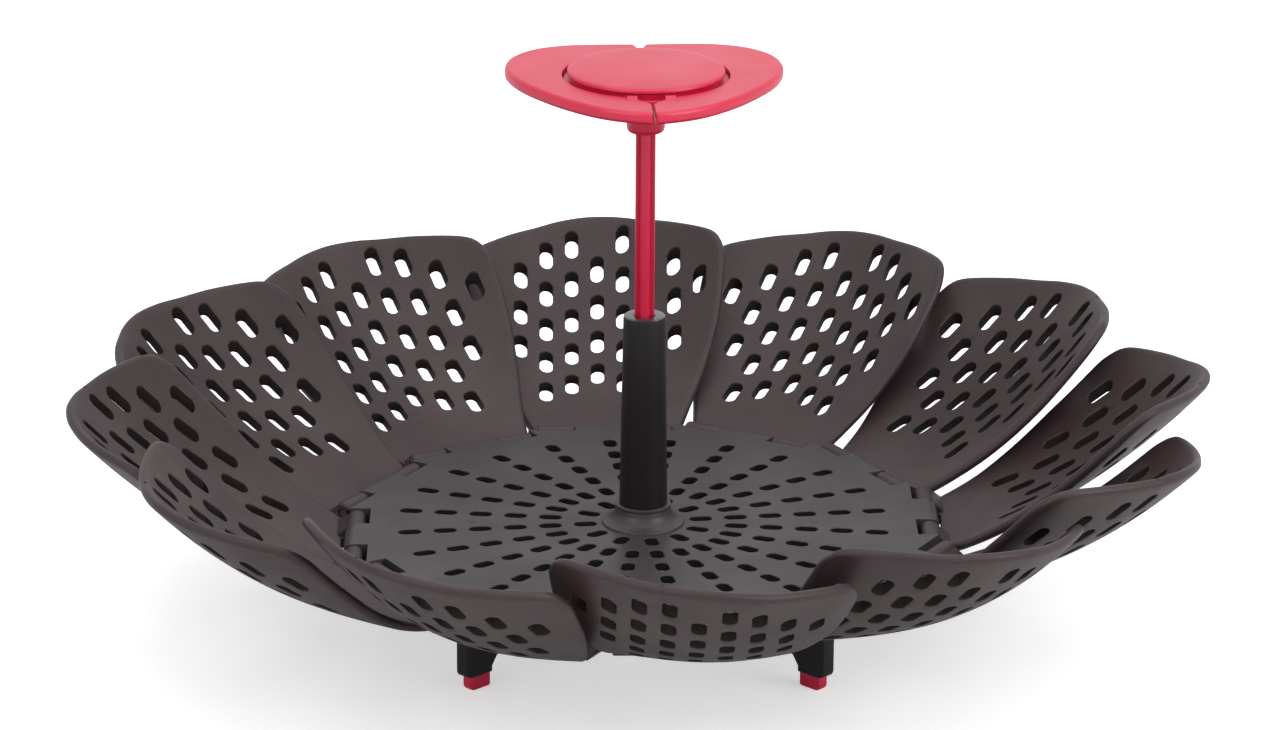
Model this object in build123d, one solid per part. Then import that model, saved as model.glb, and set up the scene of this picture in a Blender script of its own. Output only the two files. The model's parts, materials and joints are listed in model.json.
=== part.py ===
from build123d import *
import os
from math import cos, radians, sin, tan

# Folding steamer basket, standing open on its feet with the knob pulled up.
# Millimetres, +Z up. The origin is on the table under the middle of the basket.
# Side k of the twelve looks along the azimuth 30k degrees, clockwise from +Y.
# In the frame of one side x runs along its hinge, y outwards and z up.

sides = 12
side_angle = 360 / sides
corners = 4
corner_angle = 360 / corners
overrun = 1.0                  # every cutter passes its faces by this much

# Floor plate with a saw-tooth rim
floor_height = 27.3            # table to the top of the floor
floor_thickness = 2.2
edge_distance = 66.6           # middle of the basket to each straight edge
tooth_reach = 28.2             # middle line of a side to the tip of its tooth, along the edge
skirt_depth = 5.2
skirt_wall = 1.8
slot_length = 5.6              # floor slots, along the radius
slot_width = 3.4
slot_pitch = 8.6               # from ring to ring
first_ring = 14.18             # radius of the innermost ring of slots
slot_rings = 6
boss_foot_radius = 10.1
boss_top_radius = 6.5
boss_height = 5.0
boss_foot_rim = 0.6
boss_waist_radius = 7.5
boss_waist_height = 1.9

# Hinges: six-sided barrels, so that twelve of them keep few faces
barrel_sides = 6
knuckle_radius = 2.5
knuckle_width = 9.9
knuckle_side_play = 0.2
tongue_width = 14.5
tongue_radius = 2.6
hinge_shift = 0.9              # middle of the hinge from the middle of the plate's edge
hinge_gap = 0.9                # skirt to knuckle
pin_radius = 1.2
pin_play = 0.05
pin_end_play = 0.4
snap_width = 2.0               # mouth of the knuckle, a little less than the pin
heel_overlap = 1.4             # heel of the petal under the skirt, which stops it when open
heel_thickness = 1.2
stop_gap = 0.1

# Petals
petal_thickness = 2.4
petal_reach = 68.6             # hinge axis to the petal's tip, in plan
petal_half_width = 34.4
petal_net_margin = 6.5         # the shaping surface passes the outline by this much at the sides
petal_tip_margin = 1.8
petal_root_start = 0.6
petal_root_depth = 4.1
petal_root_drop = 2.04         # upper surface below the hinge axis
petal_rise = 43.9
petal_root_slope = 12.8        # degrees
petal_tip_slope = 48.9
petal_dish = 20.8              # rise of the sides over the middle line at the tip, at the full half width
petal_dish_shares = (0.08, 0.52, 0.76, 1.0)    # of the dish, from root to tip
petal_twist_rise = 8.8         # extra rise of one side at the tip, fall of the other
petal_lean = 4.6               # degrees by which the middle line leans back
petal_shift = 1.0
# Half outline: shares of the half width and of the reach
petal_outline_shares = (
    (0.542, 0.066), (0.657, 0.191), (0.781, 0.312), (0.903, 0.449), (0.954, 0.536), (1.0, 0.648),
    (0.993, 0.698), (0.960, 0.743), (0.889, 0.786), (0.749, 0.846), (0.585, 0.903),
    (0.404, 0.949), (0.208, 0.986), (0.065, 0.999),
)
tongue_notch = 4.6
petal_slot_length = 7.2
petal_slot_width = 3.6
column_pitch_share = 0.1939    # of the half width
row_pitch_share = 0.1603       # of the reach
slot_plane_tilt = 18           # degrees: the slots are cut square to this plane
slot_column_shift = 1.55
# Columns from the middle outwards: place of the first slot as a share of the reach, number of slots
first_slot_shares = (0.410, 0.352, 0.300, 0.516, 0.719)
slot_counts = (4, 5, 5, 3, 1)
petal_swing = 100              # degrees from open to folded

# Post and the ring that holds it
post_height = 53.0             # top of the post over the floor
post_foot_radius = 5.85
post_top_radius = 5.1
post_chamfer = 0.6
post_tail_radius = 5.0
post_tail_length = 5.0         # below the floor
post_fit = 0.05
retainer_radius = 8.5          # to the corners of its six sides
retainer_thickness = 3.0
stop_bore_radius = 3.6
neck_length = 8.0              # narrow bore at the top of the post
neck_bore_radius = 2.5

# Rod
rod_radius = 2.4
rod_rib = 1.8
rod_exposed = 46.0             # between post and collar, the knob's whole travel
rod_fit = 0.1
stop_foot_length = 6.0
rod_tail = 8.0                 # rod inside the collar

# Knob
knob_turn = 2.5                # degrees by which the knob stands turned, by its play
collar_radius = 4.6
collar_height = 11.2
collar_chamfer = 1.2
hub_radius = 17.8
hub_thickness = 3.3
disc_radius = 18.8
disc_thickness = 1.5
spigot_radius = 4.0
spigot_depth = 1.2
ear_width = 8.0
ear_reach = 21.5
ear_root = 14.0
ear_thickness = 1.2
ear_gap = 0.3

# Wings of the heart-shaped knob
wing_thickness = 3.0
wing_cutout_radius = 20.0
wing_half_width = 33.3
wing_front_reach = 33.0
wing_slit = 0.35               # half of the slit between the wings
wing_slit_length = 8.0
wing_back_gap = 1.1            # half of the open notch at the back
# Outer edge of the right wing from the front tip: shares of the half width and of the front reach
wing_outline_shares = (
    (0.15, -0.967), (0.336, -0.876), (0.51, -0.727), (0.688, -0.515), (0.865, -0.233),
    (0.961, 0.0), (1.0, 0.242), (0.946, 0.5), (0.781, 0.706), (0.54, 0.809), (0.24, 0.824),
)
wing_back_share = 0.818
wing_axis_offset = 4.5
wing_axis_depth = 1.3          # below the top of the hub
trunnion_radius = 0.9
trunnion_depth = 1.8           # in the hub
trunnion_fit = 0.05
lug_radius = 1.6
lug_length = 2.0
wing_swing = 90                # degrees

# Legs and feet
leg_edge_gap = 4.9             # outer edge of the leg inside the plate's edge
leg_length = 8.4               # along the radius, at the lower end
leg_thickness = 3.8
leg_gap = 3.6                  # visible height of the red foot
leg_corner_radius = 1.2
leg_riser = 1.4                # upright part of the inner edge
leg_step = 2.4
leg_steps = 3
foot_length = 6.6              # along the radius
foot_width = 2.8
foot_inset = 1.6               # outer end of the foot inside the leg's outer edge
foot_plug_inset = 0.5
foot_plug_height = 3.0
foot_play = 0.05
socket_wall = 1.2
socket_height = 2.4
socket_play = 0.1

# Sizes that follow
tooth_foot = edge_distance * sin(radians(side_angle)) - tooth_reach * cos(radians(side_angle))
hinge_reach = hinge_gap + knuckle_radius
hinge_radius = edge_distance + hinge_reach
hinge_middle = (tooth_foot - tooth_reach) / 2 + hinge_shift
hinge_height = floor_height - tongue_radius
knuckle_start = tongue_width / 2 + knuckle_side_play
root_half_width = knuckle_start + knuckle_width
floor_bottom = floor_height - floor_thickness
column_pitch = petal_half_width * column_pitch_share
row_pitch = petal_reach * row_pitch_share
shoulder_height = floor_height + boss_height
post_top = floor_height + post_height
collar_bottom = post_top + rod_exposed
hub_bottom = collar_bottom + collar_height
hub_top = hub_bottom + hub_thickness
stop_shoulder = post_top - neck_length
wing_axis_height = hub_top - wing_axis_depth
leg_outer_radius = edge_distance - leg_edge_gap
leg_inner_radius = leg_outer_radius - leg_length
foot_radius = leg_outer_radius - foot_inset - foot_length / 2


def barrel(radius, length, across_flats=False):
    """Prism along x with its middle at the origin; radius is its corners', or its flats'."""
    section = RegularPolygon(radius, barrel_sides, major_radius=not across_flats, rotation=side_angle)
    return Plane.YZ * extrude(section, length / 2, both=True)


def on_side(k, part):
    """Put a piece from the frame of one side, origin on the hinge axis, into the basket."""
    return Rot(0, 0, -side_angle * k) * Pos(hinge_middle, hinge_radius, hinge_height) * part


def plan_point(k, x, y):
    """Point of side k in plan: x along its edge, y from the middle of the basket."""
    turn = radians(side_angle * k)
    return (x * cos(turn) + y * sin(turn), y * cos(turn) - x * sin(turn))


def saw_tooth_outline():
    """Plan of the plate: each edge runs past its corner and steps out to the next tooth."""
    corner_points = []
    for k in range(sides):
        corner_points.append(plan_point(k, -tooth_reach, edge_distance))
        corner_points.append(plan_point(k, tooth_foot, edge_distance))
    return make_face(Polyline(*corner_points, close=True))


def floor_slots():
    """Radial slots: the inner ring has one for each side, the others two."""
    slots = []
    for ring in range(slot_rings):
        count = sides if ring == 0 else 2 * sides
        first = -side_angle / 4 if ring == 0 else side_angle / 4
        radius = first_ring + slot_pitch * ring
        for j in range(count):
            place = Rot(0, 0, -first - 360 / count * j) * Pos(0, radius)
            slots.append(place * Rectangle(slot_width, slot_length))
    return slots


def boss():
    """Flared ring round the post, drawn in section and turned about Z."""
    bore = post_tail_radius + post_fit
    waist = (boss_waist_radius, floor_height + boss_waist_height)
    top = (boss_top_radius, shoulder_height)
    with BuildSketch(Plane.XZ) as section:
        with BuildLine():
            Polyline(
                (bore, floor_bottom),
                (boss_foot_radius, floor_bottom),
                (boss_foot_radius, floor_height + boss_foot_rim),
                waist,
                top,
                (bore, shoulder_height),
                close=True,
            )
        make_face()
    return revolve(section.sketch, Axis.Z)


def tongue():
    """Tongue of the plate between two knuckles, with the hinge pins on its ends."""
    root = hinge_reach + skirt_wall
    body = Box(tongue_width, root, 2 * tongue_radius, align=(Align.CENTER, Align.MAX, Align.CENTER))
    pin = barrel(pin_radius, 2 * (root_half_width - pin_end_play))
    return body + barrel(tongue_radius, tongue_width) + pin


def leg_sockets():
    """Pairs of ribs under the floor that hold the legs' blades."""
    offset = leg_thickness / 2 + socket_play + socket_wall / 2
    length = leg_outer_radius - leg_inner_radius
    rib = Box(length, socket_wall, socket_height, align=(Align.MIN, Align.CENTER, Align.MAX))
    ribs = []
    for n in range(corners):
        for side in (-1, 1):
            ribs.append(corner_place(n, Pos(leg_inner_radius, side * offset, floor_bottom) * rib))
    return ribs


def base_plate():
    """Slotted floor, skirt, boss, hinge tongues and leg sockets in one moulding."""
    outline = saw_tooth_outline()
    floor = outline - floor_slots() - Circle(boss_foot_radius)
    plate = Pos(0, 0, floor_bottom) * extrude(floor, floor_thickness)
    skirt = outline - offset(outline, -skirt_wall, kind=Kind.INTERSECTION)
    plate += Pos(0, 0, floor_height - skirt_depth) * extrude(skirt, skirt_depth)
    plate += boss()
    plate += [on_side(k, tongue()) for k in range(sides)]
    return plate + leg_sockets()


def petal_surface():
    """Upper surface of a petal: it rises outwards, is dished across and twists to one side."""
    half = petal_half_width + petal_net_margin
    widening = (half / petal_half_width) ** 2
    run = petal_reach + petal_tip_margin
    spine = (
        -petal_root_drop,
        run / 3 * tan(radians(petal_root_slope)) - petal_root_drop,
        petal_rise - run / 3 * tan(radians(petal_tip_slope)) - petal_root_drop,
        petal_rise - petal_root_drop,
    )
    net = []
    for across, bow in ((-1, 1), (0, -1), (1, 1)):
        row = []
        for j, height in enumerate(spine):
            dish = petal_dish * petal_dish_shares[j]
            twist = petal_twist_rise * j / 3 * across * half / petal_half_width
            row.append((across * half, run * j / 3, height + bow * dish * widening + twist))
        net.append(row)
    return Face.make_bezier_surface(net)


def petal_outline():
    """Plan of the blade: a leaning leaf with a notch for the tongue at its root."""
    lean = tan(radians(petal_lean))
    tip = (petal_shift - lean * petal_reach, petal_reach)
    edges = []
    for side in (-1, 1):
        places = []
        for width_share, reach_share in petal_outline_shares:
            y = reach_share * petal_reach
            places.append((side * width_share * petal_half_width + petal_shift - lean * y, y))
        edges.append(places)
    left, right = edges
    with BuildSketch() as plan:
        with BuildLine():
            Polyline(
                *left,
                tip,
                *reversed(right),
                (root_half_width, petal_root_depth),
                (root_half_width, petal_root_start),
                (knuckle_start, petal_root_start),
                (knuckle_start, tongue_notch),
                (-knuckle_start, tongue_notch),
                (-knuckle_start, petal_root_start),
                (-root_half_width, petal_root_start),
                (-root_half_width, petal_root_depth),
                close=True,
            )
        make_face()
    return plan.sketch


def petal_slots():
    """Cutters of the slots, square to the tilted plane through the hinge axis."""
    cutter = Box(petal_slot_width, petal_slot_length, 2 * petal_rise)
    cutters = []
    for n, (start_share, count) in enumerate(zip(first_slot_shares, slot_counts)):
        for column in {-n, n}:
            for row in range(count):
                x = column * column_pitch - slot_column_shift
                y = start_share * petal_reach + row * row_pitch
                cutters.append(Rot(slot_plane_tilt, 0, 0) * Pos(x, y) * cutter)
    return cutters


def knuckle():
    """Snap-on knuckle with the heel that meets the plate's skirt when the petal is open."""
    heel_top = tongue_radius - skirt_depth - stop_gap
    heel_end = hinge_reach + heel_overlap
    neck = knuckle_radius * 0.7
    heel = Polyline(
        (-heel_end, heel_top),
        (-neck, heel_top),
        (-neck, 0),
        (neck, 0),
        (knuckle_radius, heel_top - heel_thickness),
        (-heel_end, heel_top - heel_thickness),
        close=True,
    )
    heel_block = Plane.YZ * extrude(make_face(heel), knuckle_width / 2, both=True)
    return barrel(knuckle_radius, knuckle_width) + heel_block


def petal():
    """One petal in the frame of its side."""
    sheet = Solid.thicken(petal_surface(), -petal_thickness)
    blade = extrude(petal_outline(), 2 * petal_rise, both=True) & sheet
    blade -= petal_slots()
    cut_width = knuckle_width + 2 * overrun
    cut_depth = knuckle_radius + overrun
    bore = barrel(pin_radius + pin_play, cut_width, across_flats=True)
    mouth = Box(cut_width, cut_depth, snap_width, align=(Align.CENTER, Align.MAX, Align.CENTER))
    for side in (-1, 1):
        middle = Pos(side * (knuckle_start + knuckle_width / 2), 0, 0)
        blade += middle * knuckle()
        blade -= middle * bore
        blade -= middle * mouth
    return blade


def post():
    """Tapered tube with a shoulder on the boss, a tail through the floor and a stepped bore."""
    tail_end = floor_bottom - post_tail_length
    with BuildSketch(Plane.XZ) as section:
        with BuildLine():
            Polyline(
                (stop_bore_radius, tail_end),
                (post_tail_radius, tail_end),
                (post_tail_radius, shoulder_height),
                (post_foot_radius, shoulder_height),
                (post_top_radius, post_top - post_chamfer),
                (post_top_radius - post_chamfer, post_top),
                (neck_bore_radius, post_top),
                (neck_bore_radius, stop_shoulder),
                (stop_bore_radius, stop_shoulder),
                close=True,
            )
        make_face()
    return revolve(section.sketch, Axis.Z)


def post_retainer():
    """Ring pushed over the post's tail under the floor."""
    ring = RegularPolygon(retainer_radius, barrel_sides) - Circle(post_tail_radius + post_fit)
    return Pos(0, 0, floor_bottom - retainer_thickness) * extrude(ring, retainer_thickness)


def rod():
    """Four-ribbed rod with a stop foot that slides on its corners in the post's lower bore."""
    ribs = Rectangle(2 * rod_radius, rod_rib) + Rectangle(rod_rib, 2 * rod_radius)
    section = ribs & Circle(rod_radius)
    length = neck_length + rod_exposed + rod_tail
    foot = extrude(RegularPolygon(stop_bore_radius - rod_fit, barrel_sides), -stop_foot_length)
    return Pos(0, 0, stop_shoulder) * (foot + extrude(section, length))


def knob_place(part):
    """Turn a piece of the knob by the knob's play."""
    return Rot(0, 0, knob_turn) * part


def knob_hub():
    """Collar and round carrier of the wings, with their trunnion holes and stop ears."""
    with BuildSketch(Plane.XZ) as section:
        with BuildLine():
            Polyline(
                (0, collar_bottom + rod_tail),
                (0, hub_top),
                (hub_radius, hub_top),
                (hub_radius, hub_bottom),
                (collar_radius, hub_bottom),
                (collar_radius, collar_bottom + collar_chamfer),
                (collar_radius - collar_chamfer, collar_bottom),
                (rod_radius, collar_bottom),
                (rod_radius, collar_bottom + rod_tail),
                close=True,
            )
        make_face()
    hub = revolve(section.sketch, Axis.Z) - Pos(0, 0, hub_top) * spigot(post_fit)
    hole = Rot(0, 0, 90) * barrel(trunnion_radius + trunnion_fit, 2 * hub_radius, across_flats=True)
    solid_core = Box(2 * hub_radius, 2 * (trunnion_seat() - trunnion_fit), 2 * hub_radius)
    ear = Box(ear_reach - ear_root, ear_width, ear_thickness, align=(Align.MIN, Align.CENTER, Align.MAX))
    rib_length = hub_radius - ear_root - ear_gap
    rib = Box(rib_length, ear_width, ear_gap, align=(Align.MIN, Align.CENTER, Align.MIN))
    for side in (-1, 1):
        hub -= Pos(side * wing_axis_offset, 0, wing_axis_height) * (hole - solid_core)
        turn = Rot(0, 0, 90 - 90 * side) * Pos(ear_root, 0, hub_bottom - ear_gap)
        hub += [turn * ear, turn * rib]
    return knob_place(hub)


def trunnion_seat():
    """Distance of the trunnions' inner ends from the middle plane of the knob."""
    return (hub_radius ** 2 - wing_axis_offset ** 2) ** 0.5 - trunnion_depth


def spigot(play=0):
    """Six-sided spigot of the cap, or its seat with some play."""
    return extrude(RegularPolygon(spigot_radius + play, barrel_sides), -spigot_depth)


def knob_disc():
    """Bare round cap with a spigot in the hub."""
    return knob_place(Pos(0, 0, hub_top) * (extrude(Circle(disc_radius), disc_thickness) + spigot()))


def wing(side):
    """Half of the heart: side is 1 for the right wing and -1 for the left one."""
    points = [(x * wing_half_width, y * wing_front_reach) for x, y in wing_outline_shares]
    tip = (wing_slit, -wing_front_reach)
    back = (wing_back_gap, wing_back_share * wing_front_reach)
    with BuildSketch() as plan:
        with BuildLine():
            Spline(tip, *points, back)
            Polyline(
                back,
                (wing_slit, wing_cutout_radius - overrun),
                (wing_slit, overrun - wing_cutout_radius),
                (wing_axis_offset, overrun - wing_cutout_radius),
                (wing_slit, wing_slit_length - wing_front_reach),
                tip,
            )
        make_face()
        Circle(wing_cutout_radius, mode=Mode.SUBTRACT)
    body = Pos(0, 0, hub_bottom) * extrude(plan.sketch, wing_thickness)
    inner = (wing_cutout_radius ** 2 - wing_axis_offset ** 2) ** 0.5
    pin_length = inner + lug_length - trunnion_seat()
    for end in (-1, 1):
        axis = Pos(wing_axis_offset, 0, wing_axis_height) * Rot(0, 0, 90 * end)
        body += axis * Pos(inner + lug_length / 2, 0, 0) * barrel(lug_radius, lug_length)
        body += axis * Pos(trunnion_seat() + pin_length / 2, 0, 0) * barrel(trunnion_radius, pin_length)
    if side < 0:
        body = mirror(body, about=Plane.YZ)
    return knob_place(body)


def corner_place(n, part):
    """Turn a piece from the +X direction to corner n."""
    return Rot(0, 0, corner_angle * (n + 0.5)) * part


def leg():
    """Blade leg along +X: upright outer edge, stepped gusset inside, pocket for the foot."""
    with BuildSketch(Plane.XZ) as section:
        with BuildLine():
            x, z = leg_inner_radius, leg_gap + leg_riser
            points = [
                (leg_outer_radius, floor_bottom),
                (leg_outer_radius, leg_gap),
                (leg_inner_radius, leg_gap),
                (x, z),
            ]
            for step in range(leg_steps):
                x, z = x - leg_step * 0.7, z + leg_step
                points.append((x, z))
                x -= leg_step * 0.3
                points.append((x, z))
            points.append((x, floor_bottom))
            Polyline(*points, close=True)
        make_face()
    blade = extrude(section.sketch, leg_thickness / 2, both=True)
    lower = blade.edges().filter_by(Axis.Y).sort_by(Axis.Z)[0:2].sort_by(Axis.X)[-1]
    blade = fillet(lower, leg_corner_radius)
    pocket = Box(
        foot_length - 2 * foot_plug_inset + 2 * foot_play,
        foot_width - 2 * foot_plug_inset + 2 * foot_play,
        foot_plug_height + foot_play,
        align=(Align.CENTER, Align.CENTER, Align.MIN),
    )
    return blade - Pos(foot_radius, 0, leg_gap) * pocket


def foot():
    """Red foot with a plug in the leg's pocket."""
    base = (Align.CENTER, Align.CENTER, Align.MIN)
    narrowing = 2 * foot_plug_inset
    pad = Box(foot_length, foot_width, leg_gap, align=base)
    plug = Box(foot_length - narrowing, foot_width - narrowing, foot_plug_height, align=base)
    return Pos(foot_radius, 0, 0) * (pad + Pos(0, 0, leg_gap) * plug)


def pieces():
    """Every piece of the basket under the name of its node."""
    made = {
        "base_plate": base_plate(),
        "post": post(),
        "post_retainer": post_retainer(),
        "rod": rod(),
        "knob_hub": knob_hub(),
        "knob_disc": knob_disc(),
        "wing_left": wing(-1),
        "wing_right": wing(1),
    }
    one_petal = petal()
    for k in range(sides):
        made[f"petal_{k + 1:02d}"] = on_side(k, one_petal)
    one_leg = leg()
    one_foot = foot()
    for n in range(corners):
        made[f"leg_{n + 1}"] = corner_place(n, one_leg)
        made[f"foot_{n + 1}"] = corner_place(n, one_foot)
    return made


os.makedirs("parts", exist_ok=True)
for name, piece in pieces().items():
    export_step(piece, f"parts/{name}.step")
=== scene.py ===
"""Looks of the folding steamer basket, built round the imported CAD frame."""

import json
import logging
from dataclasses import dataclass
from enum import Enum
from math import atan2, cos, dist, pi, radians, sin, tan
from typing import Callable, Iterable, Optional, Sequence

import bmesh
import bpy
from bmesh.types import BMEdge, BMFace, BMVert
from mathutils import Matrix, Vector


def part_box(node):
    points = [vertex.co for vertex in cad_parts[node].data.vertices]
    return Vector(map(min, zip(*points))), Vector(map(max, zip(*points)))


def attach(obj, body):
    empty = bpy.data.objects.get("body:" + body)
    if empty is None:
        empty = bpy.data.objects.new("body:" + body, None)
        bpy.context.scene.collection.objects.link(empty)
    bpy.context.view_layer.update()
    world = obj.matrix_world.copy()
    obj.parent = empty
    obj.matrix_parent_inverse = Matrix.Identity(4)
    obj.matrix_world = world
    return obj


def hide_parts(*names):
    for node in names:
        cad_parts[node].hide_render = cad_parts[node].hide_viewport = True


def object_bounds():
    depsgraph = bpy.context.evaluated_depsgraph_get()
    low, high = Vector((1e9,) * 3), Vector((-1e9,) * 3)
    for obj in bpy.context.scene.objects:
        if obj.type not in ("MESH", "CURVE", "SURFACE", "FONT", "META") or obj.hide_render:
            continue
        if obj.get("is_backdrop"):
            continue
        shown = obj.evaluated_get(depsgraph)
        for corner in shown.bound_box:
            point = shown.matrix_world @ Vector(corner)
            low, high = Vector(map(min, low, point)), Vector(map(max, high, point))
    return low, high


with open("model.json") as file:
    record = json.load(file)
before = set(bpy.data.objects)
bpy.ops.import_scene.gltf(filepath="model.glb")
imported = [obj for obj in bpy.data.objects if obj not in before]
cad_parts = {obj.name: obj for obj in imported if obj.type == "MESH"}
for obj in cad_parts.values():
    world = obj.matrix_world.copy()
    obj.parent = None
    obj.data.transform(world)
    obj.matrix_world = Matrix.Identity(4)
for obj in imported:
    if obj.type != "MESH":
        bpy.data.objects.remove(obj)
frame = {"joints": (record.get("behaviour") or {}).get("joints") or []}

LOG = logging.getLogger("steamer_basket")
MM = 0.001
SIDES = 12
CORNERS = 4
# Segments of a slot's two round ends, of a turned piece and of a small pin
SLOT_STEPS, TURNED_STEPS, PIN_STEPS = 18, 96, 24
# Facets across a rounding that catches the light, a small one and one that hardly shows
FINE, SMALL, COARSE = 4, 3, 2
# Millimetres: no length, two points that are one, an edge that is closed up, places that are the same,
# how far cutters overrun
TINY, MERGE, SLIVER, NEAR, OVERRUN = 1e-6, 1e-5, 1e-4, 0.01, 1.0
# The cutting planes stand off the slots' middle lines by this share of a cell
CELL_SHIFT = 0.09
# A face counts as level when its normal's upright share is over this
LEVEL = 0.9999
Point2 = tuple[float, float]
Verts, Edges = list[BMVert], list[BMEdge]
# Turns a section drawn in y and z, and pulled along z, into one pulled along x
ALONG_X = Matrix(((0, 0, 1, 0), (1, 0, 0, 0), (0, 1, 0, 0), (0, 0, 0, 1)))


class Slot(Enum):
    """Material slots of the record."""

    PLATE = "plate_plastic"
    PETAL = "petal_plastic"
    BLACK = "black_plastic"
    RED = "red_plastic"


def linear(hex_colour: str) -> tuple[float, float, float, float]:
    """Turn an sRGB hex colour into linear RGBA.

    Args:
        hex_colour: six hex digits with a leading #.

    Returns:
        Linear red, green, blue and an alpha of 1.
    """
    channels = [int(hex_colour[i:i + 2], 16) / 255 for i in (1, 3, 5)]
    return (*[c / 12.92 if c <= 0.04045 else ((c + 0.055) / 1.055) ** 2.4 for c in channels], 1.0)


def add_node(tree: bpy.types.NodeTree, kind: str, settings: Optional[dict] = None,
             **inputs: object) -> bpy.types.Node:
    """Add one node to a tree, with its settings, values and links.

    Args:
        tree: the material's or world's node tree.
        kind: the node's type name, without its beginning ShaderNode.
        settings: attributes of the node itself.
        inputs: socket values or output sockets to link, keyed by the socket's name with _ for spaces.

    Returns:
        The new node.
    """
    made = tree.nodes.new("ShaderNode" + kind)
    for key, value in (settings or {}).items():
        setattr(made, key, value)
    for key, value in inputs.items():
        name = key.replace("_", " ")
        socket = next(s for s in made.inputs if s.name == name and s.enabled)
        if isinstance(value, bpy.types.NodeSocket):
            tree.links.new(value, socket)
        else:
            socket.default_value = value
    return made


def smooth_through(points: Sequence[Point2], spacing: float, dense: int = 10) -> list[Point2]:
    """Run a smooth curve through points and walk along it in equal steps.

    Args:
        points: places that the curve passes.
        spacing: length of a step.
        dense: chords between two points before the walk.

    Returns:
        The curve's points, the first and last ones included.
    """
    first, last = points[0], points[-1]
    before = (2 * first[0] - points[1][0], 2 * first[1] - points[1][1])
    after = (2 * last[0] - points[-2][0], points[-2][1])
    run = [before, *points, after]
    curve = []
    for a, b, c, d in zip(run, run[1:], run[2:], run[3:]):
        for step in range(dense):
            t = step / dense
            curve.append(tuple(
                (2 * q + (r - p) * t + (2 * p - 5 * q + 4 * r - s) * t * t
                 + (3 * q - p - 3 * r + s) * t ** 3) / 2 for p, q, r, s in zip(a, b, c, d)))
    return evenly(curve + [last], spacing)


def evenly(points: Sequence[Point2], spacing: float) -> list[Point2]:
    """Walk along a polyline in equal steps.

    Args:
        points: its corners.
        spacing: about the length of a step.

    Returns:
        The places of the steps, both ends included.
    """
    lengths = [0.0]
    for a, b in zip(points, points[1:]):
        lengths.append(lengths[-1] + dist(a, b))
    steps = max(1, round(lengths[-1] / spacing))
    walked, span = [], 0
    for n in range(steps + 1):
        goal = lengths[-1] * n / steps
        while span < len(points) - 2 and lengths[span + 1] < goal:
            span += 1
        t = (goal - lengths[span]) / (lengths[span + 1] - lengths[span])
        walked.append(tuple(p + (q - p) * t for p, q in zip(points[span], points[span + 1])))
    return walked


def rounded_outline(corners: Sequence[tuple[float, float, float]], steps: int = 5) -> list[Point2]:
    """Round the corners of a closed outline.

    Args:
        corners: x, y and radius of each corner, in order; a radius of zero keeps it sharp.
        steps: chords in each rounding.

    Returns:
        The outline's points.
    """
    outline = []
    for n, (x, y, radius) in enumerate(corners):
        here = Vector((x, y))
        to_before = (Vector(corners[n - 1][:2]) - here).normalized()
        to_after = (Vector(corners[(n + 1) % len(corners)][:2]) - here).normalized()
        if not radius:
            outline.append((x, y))
            continue
        half = to_before.angle(to_after) / 2
        centre = here + (to_before + to_after).normalized() * (radius / sin(half))
        start = here + to_before * (radius / tan(half)) - centre
        end = here + to_after * (radius / tan(half)) - centre
        for step in range(steps + 1):
            outline.append(tuple(centre + start.lerp(end, step / steps).normalized() * radius))
    return outline


def unique(items: Iterable[object]) -> list:
    """Drop repeats and keep the order, so that each run builds the same mesh."""
    return list(dict.fromkeys(items))


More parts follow.
